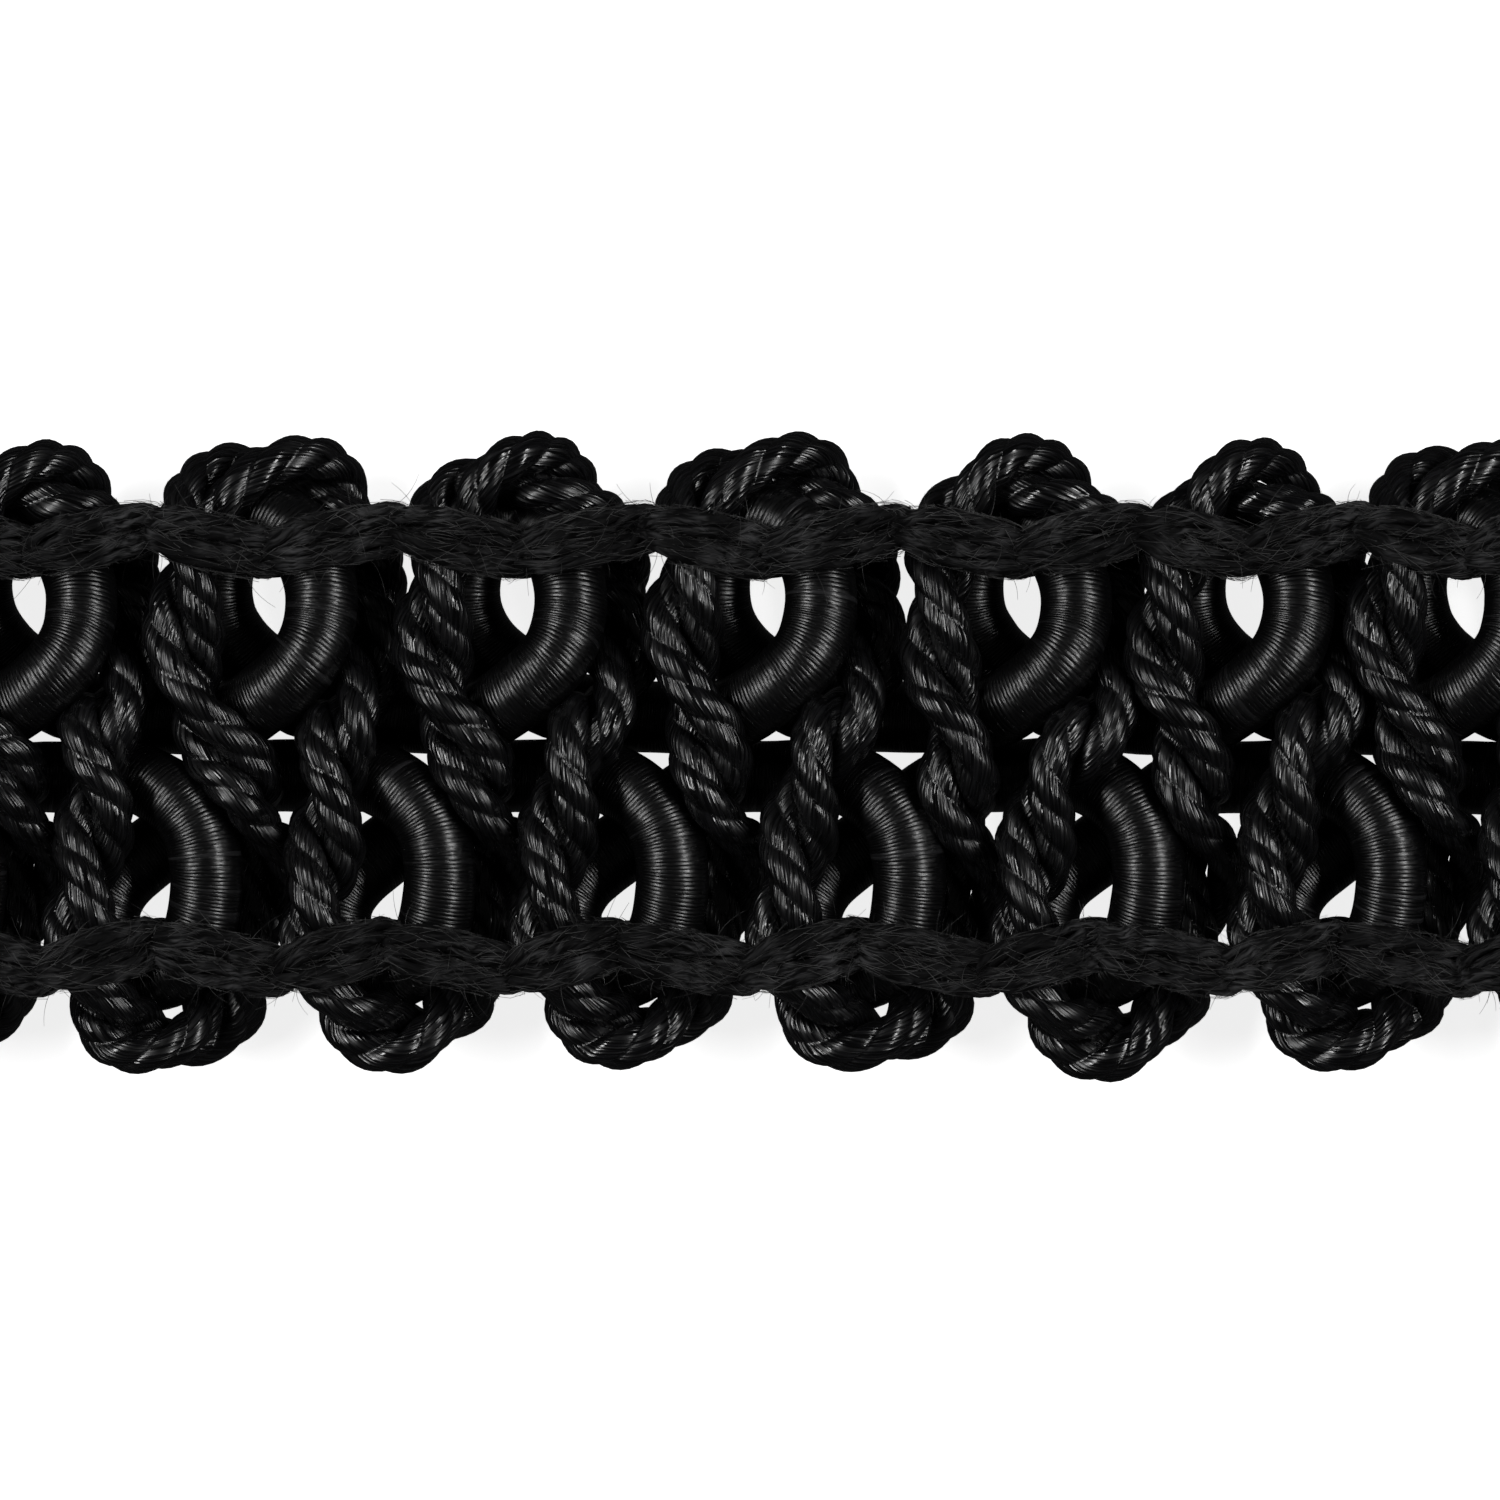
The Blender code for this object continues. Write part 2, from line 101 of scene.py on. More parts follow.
BOTTOM_GIMP = (
    Spot(-0.00198, 0.00022, 0.00),
    Spot(-0.00111, 0.00018, 0.30),
    Spot(-0.00030, 0.00036, 0.85),
    Spot(0.00040, 0.00084, 1.00),
    Spot(0.00094, 0.00153, 1.00),
    Spot(0.00121, 0.00242, 0.90),
    Spot(0.00124, 0.00341, 0.70),
    Spot(0.00109, 0.00435, 0.50),
    Spot(0.00069, 0.00509, 0.30),
    Spot(0.00000, 0.00536, 0.20),
    Spot(-0.00079, 0.00509, 0.10),
    Spot(-0.00128, 0.00435, 0.00),
    Spot(-0.00131, 0.00366, 0.00),
    Spot(-0.00104, 0.00306, 0.00),
    Spot(-0.00044, 0.00247, 0.00),
    Spot(0.00030, 0.00188, 0.00),
    Spot(0.00114, 0.00112, 0.00),
    Spot(0.00207, 0.00044, 0.00),
)
TOP_PAIR = (
    Spot(-0.00163, 0.00077, 1.00),
    Spot(-0.00190, 0.00163, 1.00),
    Spot(-0.00210, 0.00262, 1.00),
    Spot(-0.00217, 0.00385, 1.00),
    Spot(-0.00214, 0.00484, 0.80),
    Spot(-0.00212, 0.00558, 0.60),
    Spot(-0.00182, 0.00618, 0.55),
    Spot(-0.00130, 0.00672, 0.50),
    Spot(-0.00052, 0.00702, 0.45),
    Spot(0.00030, 0.00705, 0.40),
    Spot(0.00110, 0.00684, 0.30),
    Spot(0.00176, 0.00642, 0.15),
    Spot(0.00217, 0.00590, 0.00),
    Spot(0.00233, 0.00506, 0.00),
    Spot(0.00255, 0.00395, 0.00),
    Spot(0.00250, 0.00272, 0.20),
    Spot(0.00212, 0.00153, 0.60),
    Spot(0.00170, 0.00077, 1.00),
)
BOTTOM_PAIR = (
    Spot(-0.00138, 0.00084, 1.00),
    Spot(-0.00158, 0.00158, 1.00),
    Spot(-0.00168, 0.00242, 1.00),
    Spot(-0.00185, 0.00356, 1.00),
    Spot(-0.00193, 0.00430, 0.80),
    Spot(-0.00188, 0.00509, 0.60),
    Spot(-0.00151, 0.00574, 0.55),
    Spot(-0.00109, 0.00640, 0.50),
    Spot(-0.00047, 0.00665, 0.45),
    Spot(0.00020, 0.00678, 0.40),
    Spot(0.00092, 0.00662, 0.30),
    Spot(0.00148, 0.00620, 0.15),
    Spot(0.00193, 0.00583, 0.00),
    Spot(0.00227, 0.00504, 0.00),
    Spot(0.00257, 0.00405, 0.00),
    Spot(0.00269, 0.00287, 0.20),
    Spot(0.00252, 0.00163, 0.60),
    Spot(0.00232, 0.00077, 1.00),
)
APEX_PLACE = 8.6  # where on the pair's table its loop reaches furthest out
BACK_Z = 0.00090
FRONT_Z = 0.00300
ROUNDED_FROM = 0.0037  # the loops' ends take their own width from here outwards
ROUNDED_OVER = 0.0025
GIMP_END = 0.0011  # how far a gimp runs on past its first and last loop

# The pair of twisted cords: its half turns from a top loop to the next bottom one and on to the next
# top one, and how far each cord swings to the side and up and down from the line between them.
TURNS_DOWN = 6.43
TURNS_UP = 5.57
TURNS_AT_TOP = 0.27
SWING_SIDE = 0.00049
SWING_RISE = 0.00046

# How the strands settle against each other.
STEP = 0.00040
ROUNDS = 420
SEARCH_EVERY = 20
SIDEWAYS = 0.10
FROM_POST = 0.6
CROWD = 1.5
RETURN_SHARE = 0.02
SINK = 0.000012
SINK_ROUNDS = 180
SMOOTHING = 0.25
POST_TOP = 0.0045

# The chain stitches: where their joints lie, outwards from the braid's middle line, at a loop's middle and
# between two loops, for each row. A joint's post goes through the braid to the float on its back. The upper
# chain runs on by one joint past its first and last loop, so that it is cut where the lower one is.
Chain = namedtuple("Chain", "side loop_joint loop_post gap_joint gap_post shift run_on")
TOP_CHAIN = Chain(1, 0.00500, 0.00464, 0.00565, 0.00583, -0.00012, True)
BOTTOM_CHAIN = Chain(-1, 0.00462, 0.00425, 0.00532, 0.00550, -0.00025, False)
STITCH_WIDE = 0.00068
JOINT_WIDE = 0.00042
STITCH_STEPS = (0.0, 0.14, 0.32, 0.5, 0.68, 0.86)
POST_RADIUS = 0.00015
FLOAT_WIDTH = 0.00050
FLOAT_THICK = 0.00030
FLOAT_LIFT = 0.00045
LIFT_REACH = 0.00115
LIFT_RAMP = 0.00080

MM = 1000.0  # millimetres in a metre
END_DEPTH = 0.5  # how far along a cut end is rounded over, as a share of the radius
END_LEFT = 0.55  # how much of the radius is left at the very end

# The gimps' mesh: its rings and sides, how far its thickness sways and over what lengths, and how much
# wider than high it is pressed.
GIMP_SIDES = 22
GIMP_RING = 0.00022
GIMP_SWELL = 0.018
SWELL_LONG = (1.0, 0.0017)
SWELL_SHORT = (0.6, 0.0006)
GIMP_WIDER = 1.05

# The thread wound round a gimp: its pitch, how many run side by side, how unevenly it lies, how fine its
# filaments are, and from where on a thread is a stray pale one, from 0 to 1.
WRAP_PITCH = 0.000085
WRAP_STARTS = 4
THREAD_WANDER = 1.6
THREAD_WAVES = 12.0
THREAD_UNEVEN = 2.2
THREAD_LOWEST = 0.55
FILAMENTS_PER_MM = 26.0
STRAY_FROM = 0.93
THREAD_RELIEF = 0.000012

# The plies of a cord: the length of one turn and how far it sways, how full each ply is, and how its
# filaments lean across the plies on each millimetre, so that they lie nearly along the cord.
CORD_WIDER = 1.07
CORD_FULL = 0.00003
CORD_RING = 0.00017
CORD_PLIES = 3
CORD_PITCH = 0.00320
CORD_UNEVEN = (0.03, 0.8 * CORD_PITCH)
PITCH_SWAY = (0.16, 3.1 * CORD_PITCH)
PLY_SIDES = 12
PLY_BITE = 0.69
PLY_OFFSET = 5.3
FILAMENT_LEAN = -1.11
BUNDLES_PER_PLY = 17.0
FILAMENTS_PER_PLY = 30.0
CORD_RELIEF = 0.000014

# The spun yarn: its rovings, how thick they are and how far out they lie as shares of the yarn's
# radius, the length of one turn of theirs, how far each strays round the yarn, outwards and in
# thickness, and how their fibres wave and show.
YARN_RING = 0.00014
NO_YARNS_WAY = (0.31, 0.17, 0.93)  # a direction in which no yarn starts
ROVINGS = 8
ROVING_SIDES = 5
ROVING_THICK = 0.37
ROVING_OUT = 0.60
ROVING_PITCH = 0.0085
ROVING_START = 0.2  # how far one may start off its place, as a share of the way to the next
STRAY_ROUND = (0.7, 0.0009)
STRAY_OUT = (0.22, 0.0007)
STRAY_THICK = (0.25, 0.0005)
ROVING_WIDTH = 0.60
LEG_RADIUS = 0.00036
YARN_WAVE = 0.35
YARN_WAVE_SCALE = 1500.0
YARN_PATCH_SCALE = 900.0
YARN_FIBRES = (9.0, 1.7)
YARN_RELIEF = 0.000090

# A chain stitch: how wide its two legs stand apart, at the middle and at the root, how far its head
# reaches past the next joint, and how high its rounded end lies. One leg is given by its points: a share
# of the way to the next joint, how far past that, how far to the side as a share of the width at the
# root or at the middle, and how high over the strands below.
LEG_APART = 0.00036
HEAD_PAST = 0.00030
ROOT_APART = 0.00014
HEAD_LOW = -0.00018
STITCH_ROOT = (
    (0.0, 0.00002, 0.7, -0.00042),
    (0.0, 0.00012, 1.0, -0.00010),
    (0.0, 0.00036, 1.5, 0.00012),
)
STITCH_LEG = (
    (0.30, 0.0, 0.94, 0.00004),
    (0.50, 0.0, 1.0, 0.0),
    (0.70, 0.0, 0.97, 0.0),
    (1.0, -0.00022, 0.88, -0.00002),
    (1.0, 0.00006, 0.76, -0.00008),
    (1.0, HEAD_PAST * 0.8, 0.40, -0.00016),
)

# Fibres of the spun yarn: how many lie along it and how many stand off it on each millimetre, how long
# and how thick they are, and how they lift, drift and bend.
LYING_PER_MM = 22
LYING_LENGTH = (0.0004, 0.0013)
LYING_OUT = (0.93, 1.10)
LYING_LIFT = 0.10
LYING_DRIFT = 0.9
HAIRS_PER_MM = 5
HAIR_LENGTH = (0.0003, 0.0010)
HAIR_BEND = (0.2, 0.7)
HAIR_RADIUS = 0.000008
HAIR_THINNER = 0.5
HAIR_STEPS = 6
HAIR_FREE = 12  # one part in so many of a stitch, at each end, has no hairs

# The darkest and the lightest tone of each material, how rough it is where its filaments lie low and where
# they lie high, and how much it mirrors. For the chain's yarn and its loose fibres the lightest tone is a
# painted glint.
GIMP_TONES = ((0.0012, 0.0012, 0.0014), (0.016, 0.016, 0.017))
GIMP_ROUGHNESS = (0.24, 0.36)
GIMP_SPECULAR = 0.6
CORD_TONES = ((0.0010, 0.0010, 0.0012), (0.008, 0.008, 0.009))
CORD_ROUGHNESS = (0.34, 0.11)
CORD_SPECULAR = 0.62
# The yarn's lightest tone is a painted glint on its raised fibres; its darkest is the yarn's own black.
YARN_TONES_AND_GLINTS = ((0.0008, 0.0008, 0.0010), (0.058, 0.058, 0.060))
YARN_SPECULAR = 0.15
# The loose fibres' lightest tone is a painted glint.
FIBRE_TONES_AND_GLINTS = ((0.004, 0.004, 0.004), (0.075, 0.075, 0.075))
FLOOR_TONES = ((0.85, 0.85, 0.85), (0.88, 0.88, 0.88))
FLOOR_SPECULAR = 0.1

# The camera stands straight over the middle of the photographed stretch.
VIEW_MIDDLE = (-0.00025, 0.00015)
VIEW_WIDTH = 0.03705
VIEW_PLANE = 0.0030
CAMERA_HEIGHT = 0.50
SENSOR = 36.0
FLOOR_HALF = 0.6
FLOOR_LEVEL = -0.00003
FLOOR_GLOW = 0.84
FLOOR_GRAIN = 60.0
WORLD_LIGHT = 0.02
LIGHTS = (
    ("left_softbox", (-0.22, 0.04, 0.23), (0.26, 0.045), 0.54),
    ("right_softbox", (0.22, 0.04, 0.23), (0.26, 0.045), 0.54),
)


def lengths_along(line):
    return np.concatenate([[0], np.cumsum(np.linalg.norm(np.diff(line, axis=0), axis=1))])


def smooth_line(spots, step):
    """A smooth curve through the spots, with a point every step."""
    spots = np.array(spots)
    along = lengths_along(spots)
    slopes = np.gradient(spots, along, axis=0)
    at = np.linspace(0, along[-1], round(along[-1] / step) + 1)
    first = np.clip(np.searchsorted(along, at, side="right") - 1, 0, len(spots) - 2)
    span = (along[first + 1] - along[first])[:, None]
    u = (at - along[first])[:, None] / span
    return (
        spots[first] * (1 + 2 * u) * (1 - u) ** 2
        + slopes[first] * span * u * (1 - u) ** 2
        + spots[first + 1] * u * u * (3 - 2 * u)
        + slopes[first + 1] * span * u * u * (u - 1)
    )


def evened(line):
    along = lengths_along(line)
    at = np.linspace(0, along[-1], round(along[-1] / STEP) + 1)
    return np.stack([np.interp(at, along, line[:, axis]) for axis in range(3)], axis=1)


def placed(head, side, spot):
    rounded = min(max((spot.out - ROUNDED_FROM) / ROUNDED_OVER, 0.0), 1.0)
    x = head.centre + spot.across * head.width**rounded
    z = BACK_Z + (FRONT_Z - BACK_Z) * spot.height
    return (x, side * spot.out * head.reach, z)


def gimp_line(heads, side, loop):
    spots = [placed(head, side, spot) for head in heads for spot in loop]
    run_on = np.array([GIMP_END, 0, 0])
    return smooth_line([spots[0] - run_on] + spots + [spots[-1] + run_on], STEP)


def pair_line():
    """The line that the pair of cords follows, and its half turns at each point of it."""
    rows = [(head, 1, TOP_PAIR) for head in TOP_HEADS]
    rows += [(head, -1, BOTTOM_PAIR) for head in BOTTOM_HEADS]
    rows.sort(key=lambda row: row[0].centre)
    spots, marks, turns = [], [], TURNS_AT_TOP - TURNS_UP
    for head, side, loop in rows:
        marks.append((len(spots) + APEX_PLACE, turns + head.wind))
        turns += TURNS_DOWN if side > 0 else TURNS_UP
        spots += [placed(head, side, spot) for spot in loop]
    line = smooth_line(spots, STEP)
    along = lengths_along(np.array(spots))
    marked = np.interp([place for place, _ in marks], np.arange(len(spots)), along)
    counted = np.array([count for _, count in marks])
    rate = (counted[-1] - counted[0]) / (marked[-1] - marked[0])
    marked = np.concatenate([[0], marked, [along[-1]]])
    first = counted[0] - rate * (marked[1] - marked[0])
    last = counted[-1] + rate * (marked[-1] - marked[-2])
    counted = np.concatenate([[first], counted, [last]])
    at = np.linspace(0, along[-1], len(line))
    return line, np.interp(at, marked, counted)


def wound_cord(line, turns, which):
    """One of the two cords that are wound round each other along the line."""
    ahead = np.gradient(line, axis=0)
    ahead /= np.linalg.norm(ahead, axis=1)[:, None]
    left = np.stack([-ahead[:, 1], ahead[:, 0], np.zeros(len(line))], axis=1)
    left /= np.linalg.norm(left, axis=1)[:, None]
    up = np.cross(ahead, left)
    angle = (math.pi / 2 - math.pi * turns)[:, None]
    return evened(line + which * (SWING_SIDE * np.cos(angle) * left + SWING_RISE * np.sin(angle) * up))


def chain_joints(chain, heads):
    """X and the place across the braid of each joint of a chain and of its post, in order along it."""
    at_loop = (chain.side * chain.loop_joint, chain.side * chain.loop_post)
    at_gap = (chain.side * chain.gap_joint, chain.side * chain.gap_post)
    joints = []
    for number, head in enumerate(heads):
        joints.append((head.centre + chain.shift, *at_loop))
        if number + 1 < len(heads):
            joints.append(((head.centre + heads[number + 1].centre) / 2, *at_gap))
    if chain.run_on:
        half = (heads[-1].centre - heads[0].centre) / (len(heads) - 1) / 2
        joints.insert(0, (heads[0].centre - half, *at_gap))
        joints.append((heads[-1].centre + half, *at_gap))
    return joints


def post_points():
    """Points up the posts, which the strands settle round."""
    heights = np.arange(0, POST_TOP, STEP)
    spots = [
        (x, post, z)
        for chain, heads in ((TOP_CHAIN, TOP_HEADS), (BOTTOM_CHAIN, BOTTOM_HEADS))
        for x, _, post in chain_joints(chain, heads)
        for z in heights
    ]
    return np.array(spots)


def near_pairs(points, owner, place, thick):
    """Pairs of points close enough to touch, leaving out those next to each other on one strand."""
    reach = 2 * GIMP_RADIUS + STEP
    order = np.argsort(points[:, 0], kind="stable")
    ends = np.searchsorted(points[order, 0], points[order, 0] + reach)
    ones, twos = [], []
    for k, one in enumerate(order):
        others = order[k + 1 : ends[k]]
        others = others[np.abs(points[others, 1] - points[one, 1]) < reach]
        far = np.abs(place[others] - place[one]) * STEP > 4 * thick[one]
        others = others[(owner[others] != owner[one]) | far]
        ones.append(np.full(len(others), one))
        twos.append(others)
    return np.concatenate(ones), np.concatenate(twos)


def lowest_z(points, thick):
    """How low each point may lie: on the surface, or on the floats of the chains' backs."""
    off = np.minimum(
        np.abs(points[:, 1] - (TOP_CHAIN.loop_post + TOP_CHAIN.gap_post) / 2),
        np.abs(points[:, 1] + (BOTTOM_CHAIN.loop_post + BOTTOM_CHAIN.gap_post) / 2),
    )
    return thick + FLOAT_LIFT * np.clip((LIFT_REACH + LIFT_RAMP - off) / LIFT_RAMP, 0, 1)


def settled(lines, radii):
    """The lines pushed apart, mostly up and down, until the strands round them only touch."""
    posts = post_points()
    sizes = [len(line) for line in lines] + [len(posts)]
    radii = list(radii) + [POST_RADIUS + CLEARANCE / 2]
    owner = np.repeat(np.arange(len(sizes)), sizes)
    place = np.concatenate([np.arange(size) for size in sizes])
    thick = np.repeat(radii, sizes)
    points = np.concatenate(list(lines) + [posts])
    start = points.copy()
    free = owner < len(lines)
    inner = (owner[1:-1] == owner[:-2]) & (owner[1:-1] == owner[2:]) & free[1:-1]
    weight = np.array([SIDEWAYS, SIDEWAYS, 1.0])
    for number in range(ROUNDS):
        if number % SEARCH_EVERY == 0:
            one, two = near_pairs(points, owner, place, thick)
        between = points[two] - points[one]
        distance = np.linalg.norm(between, axis=1)
        short = thick[one] + thick[two] - distance
        hit = short > 0
        push = between[hit] / distance[hit][:, None] * (short[hit] / 2)[:, None]
        posted = (owner[one[hit]] == len(lines)) | (owner[two[hit]] == len(lines))
        push = np.where(posted[:, None], push * FROM_POST, push * weight)
        move = np.zeros_like(points)
        count = np.ones(len(points))
        np.add.at(move, one[hit], -push)
        np.add.at(move, two[hit], push)
        np.add.at(count, one[hit], 1 / 2)
        np.add.at(count, two[hit], 1 / 2)
        move /= np.maximum(count / CROWD, 1)[:, None]
        if number < SINK_ROUNDS:
            move[:, 2] -= SINK
            move[:, :2] += RETURN_SHARE * (start - points)[:, :2]
        points[free] += move[free]
        shift = points - start
        middle = (shift[:-2] + shift[2:]) / 2
        shift[1:-1][inner] += SMOOTHING * (middle - shift[1:-1])[inner]
        points = start + shift
        points[free, 2] = np.maximum(points[free, 2], lowest_z(points[free], thick[free]))
    return np.split(points[free], np.cumsum(sizes[:-2]))


def strand_lines():
    path, turns = pair_line()
    lines = (
        gimp_line(TOP_HEADS, 1, TOP_GIMP),
        gimp_line(BOTTOM_HEADS, -1, BOTTOM_GIMP),
        wound_cord(path, turns, 1),
        wound_cord(path, turns, -1),
    )
    return settled(lines, (GIMP_RADIUS, GIMP_RADIUS, CORD_RADIUS, CORD_RADIUS))


def height_over(x, y, reach, lines, radii):
    """How high a yarn of this radius lies at a place on the strands."""
    best = FLOAT_THICK
    for line, radius in zip(lines, radii):
        off = np.hypot(line[:, 0] - x, line[:, 1] - y)
        touch = radius + reach
        near = off < touch
        if near.any():
            best = max(best, float((line[near, 2] + np.sqrt(touch**2 - off[near] ** 2)).max()))
    return best


def chain_line(joints, lines, radii):
    """Sections along a chain: X, place across, height, and how wide the stitch is there."""
    sections = []
    for (x0, y0, _), (x1, y1, _) in zip(joints, joints[1:]):
        for share in STITCH_STEPS:
            wide = JOINT_WIDE + (STITCH_WIDE - JOINT_WIDE) * math.sin(math.pi * share)
            sections.append([x0 + (x1 - x0) * share, y0 + (y1 - y0) * share, 0.0, wide])
    sections.append([joints[-1][0], joints[-1][1], 0.0, JOINT_WIDE])
    for section in sections:
        x, y, _, wide = section
        section[2] = max(
            height_over(x, y + leg * wide / 2, YARN_RADIUS, lines, radii) for leg in (-1, 1)
        )
    sections = np.array(sections)
    raised = sections[:, 2].copy()
    for _ in range(3):
        raised[1:-1] = np.maximum(sections[1:-1, 2], (raised[:-2] + raised[2:]) / 2)
    sections[:, 2] = raised
    return sections


def frames(line):
    """The way ahead, to the left and up at each point of a line that is never upright."""
    ahead = np.gradient(line, axis=0)
    ahead /= np.linalg.norm(ahead, axis=1)[:, None]
    left = np.stack([-ahead[:, 1], ahead[:, 0], np.zeros(len(line))], axis=1)
    left /= np.linalg.norm(left, axis=1)[:, None]
    return ahead, left, np.cross(ahead, left)


def carried_frames(line):
    """Frames carried along a line without twisting, for yarn that also runs upright."""
    ahead = np.gradient(line, axis=0)
    ahead /= np.linalg.norm(ahead, axis=1)[:, None]
    left = np.zeros_like(line)
    side = np.cross(NO_YARNS_WAY, ahead[0])
    for k, way in enumerate(ahead):
        side = side - way * (side @ way)
        side = side / np.linalg.norm(side)
        left[k] = side
    return ahead, left, np.cross(ahead, left)


def slow_noise(along, length, seed):
    """Smooth noise between -1 and 1 that changes over about this length."""
    dice = np.random.default_rng(seed)
    knots = dice.uniform(-1, 1, int(along[-1] / length) + 4)
    place = along / length
    k = np.floor(place).astype(int)
    share = place - k
    share = share * share * (3 - 2 * share)
    return knots[k] * (1 - share) + knots[k + 1] * share


def sway(along, much, seed):
    """Smooth noise along a strand: much gives its size and the length it changes over."""
    size, length = much
    return size * slow_noise(along, length, seed)


def tube_mesh(name, grid, u, v):
    """A mesh through rings of points, closed round and capped, with u round it and v along it."""
    rings, sides, _ = grid.shape
    ring = np.arange(rings - 1)[:, None] * sides
    side = np.arange(sides)[None, :]
    after = (side + 1) % sides
    quads = np.stack([ring + side, ring + after, ring + sides + after, ring + sides + side], axis=2)
    wrap = np.broadcast_to(u[None, :], (rings, sides + 1))
    low = np.broadcast_to(wrap[:-1, :-1], (rings - 1, sides))
    high = np.broadcast_to(wrap[:-1, 1:], (rings - 1, sides))
    start = np.broadcast_to(v[:-1, None], (rings - 1, sides))
    end = np.broadcast_to(v[1:, None], (rings - 1, sides))
    corners = ((low, start), (high, start), (high, end), (low, end))
    uv = np.stack([np.stack(corner, 2) for corner in corners], axis=2).reshape(-1, 2)
    last = (rings - 1) * sides
    mesh = bpy.data.meshes.new(name)
    caps = [list(range(sides))[::-1], list(range(last, last + sides))]
    mesh.from_pydata(grid.reshape(-1, 3).tolist(), [], quads.reshape(-1, 4).tolist() + caps)
    layer = mesh.uv_layers.new(name="along")
    cap_uv = [np.stack([u[:-1], np.full(sides, height)], 1) for height in (v[0], v[-1])]
    layer.data.foreach_set("uv", np.concatenate([uv, *cap_uv]).astype(np.float32).ravel())
    mesh.shade_smooth()
    return mesh


def add_piece(name, mesh, material, nodes):
    piece = bpy.data.objects.new(name, mesh)
    bpy.context.scene.collection.objects.link(piece)
    mesh.materials.append(material)
    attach(piece, "root")
    if nodes:
        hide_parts(*nodes)


def rounded_ends(line, radius):
    """Shrinks the first and last rings of a strand so that its cut ends are rounded over."""
    along = lengths_along(line)
    inward = np.minimum(along, along[-1] - along)
    share = np.clip(inward / (END_DEPTH * radius), 0, 1)
    return END_LEFT + (1 - END_LEFT) * np.sqrt(1 - (1 - share) ** 2)


def gimp_mesh(name, rough_line, seed):
    line = smooth_line(rough_line, GIMP_RING)
    along = lengths_along(line)
    _, left, up = frames(line)
    angle = np.linspace(0, 2 * math.pi, GIMP_SIDES + 1)[:-1] - math.pi / 2
    uneven = sway(along, SWELL_LONG, seed) + sway(along, SWELL_SHORT, seed + 1)
    radius = GIMP_RADIUS * (1 + GIMP_SWELL * uneven) * rounded_ends(line, GIMP_RADIUS)
    across = np.cos(angle)[None, :, None] * left[:, None, :]
    rise = np.sin(angle)[None, :, None] * up[:, None, :]
    grid = line[:, None, :] + radius[:, None, None] * (GIMP_WIDER * across + rise)
    return tube_mesh(name, grid, np.linspace(0, 1, GIMP_SIDES + 1), along * MM)


def plied_outline(plies, sides, bite):
    """The outline across twisted plies: how far out, as a share of the radius, and how far round."""
    middle = 1 - bite
    half = math.pi / plies
    outline = []
    for number in range(plies):
        for k in range(sides):
            own = half * (2 * k / sides - 1)
            away = middle * math.cos(own) + math.sqrt(bite**2 - (middle * math.sin(own)) ** 2)
            outline.append((away, 2 * half * number + own))
    return np.array(outline)


def plied_mesh(name, line, radius, seed):
    """A cord of plies twisted together: its outline turns as it runs along the line."""
    along = lengths_along(line)
    _, left, up = carried_frames(line)
    rate = (1 + sway(along, PITCH_SWAY, seed)) / CORD_PITCH
    turned = -2 * math.pi * np.concatenate([[0], np.cumsum(np.diff(along) * (rate[:-1] + rate[1:]) / 2)])
    outline = plied_outline(CORD_PLIES, PLY_SIDES, PLY_BITE)
    angle = turned[:, None] + outline[None, :, 1]
    uneven = 1 + sway(along, CORD_UNEVEN, seed + 7)
    away = (radius * uneven * rounded_ends(line, radius))[:, None] * outline[None, :, 0]
    across = (away * np.cos(angle))[:, :, None] * left[:, None, :]
    rise = (away * np.sin(angle))[:, :, None] * up[:, None, :]
    off = across + rise
    off[:, :, :2] *= CORD_WIDER
    u = np.arange(CORD_PLIES * PLY_SIDES + 1) / PLY_SIDES
    return tube_mesh(name, line[:, None, :] + off, u, along * MM)


def stitch_lines(chain, heads, lines, radii):
    """The yarn of each stitch: up through a joint, along to the next, round its head and back."""
    joints = chain_joints(chain, heads)
    sections = chain_line(joints, lines, radii)
    made = []
    for (x0, y0, _), (x1, y1, _) in zip(joints, joints[1:]):
        start, end = np.array([x0, y0]), np.array([x1, y1])
        run = np.linalg.norm(end - start)
        way = (end - start) / run
        side = np.array([-way[1], way[0]])
        half = [(share * run + past, ROOT_APART * wide, rise) for share, past, wide, rise in STITCH_ROOT]
        half += [(share * run + past, LEG_APART * wide, rise) for share, past, wide, rise in STITCH_LEG]
        hairpin = half + [(run + HEAD_PAST, 0.0, HEAD_LOW)]
        hairpin += [(along, -wide, rise) for along, wide, rise in reversed(half)]
        spots = []
        for along, wide, rise in hairpin:
            spot = start + way * along + side * wide
            top = float(np.interp(spot[0], sections[:, 0], sections[:, 2]))
            spots.append((*spot, top + rise))
        made.append(smooth_line(spots, YARN_RING))
    return made


def joined(name, meshes):
    """One mesh of several, each keeping its own uv."""
    points, faces, uvs, first = [], [], [], 0
    for mesh in meshes:
        spots = np.empty(len(mesh.vertices) * 3, np.float32)
        mesh.vertices.foreach_get("co", spots)
        points.append(spots.reshape(-1, 3))
        faces += [[first + k for k in face.vertices] for face in mesh.polygons]
        layer = np.empty(len(mesh.loops) * 2, np.float32)
        mesh.uv_layers[0].data.foreach_get("uv", layer)
        uvs.append(layer)
        first += len(mesh.vertices)
        bpy.data.meshes.remove(mesh)
    whole = bpy.data.meshes.new(name)
    whole.from_pydata(np.concatenate(points).tolist(), [], faces)
    whole.uv_layers.new(name="along").data.foreach_set("uv", np.concatenate(uvs))
    whole.shade_smooth()
    return whole


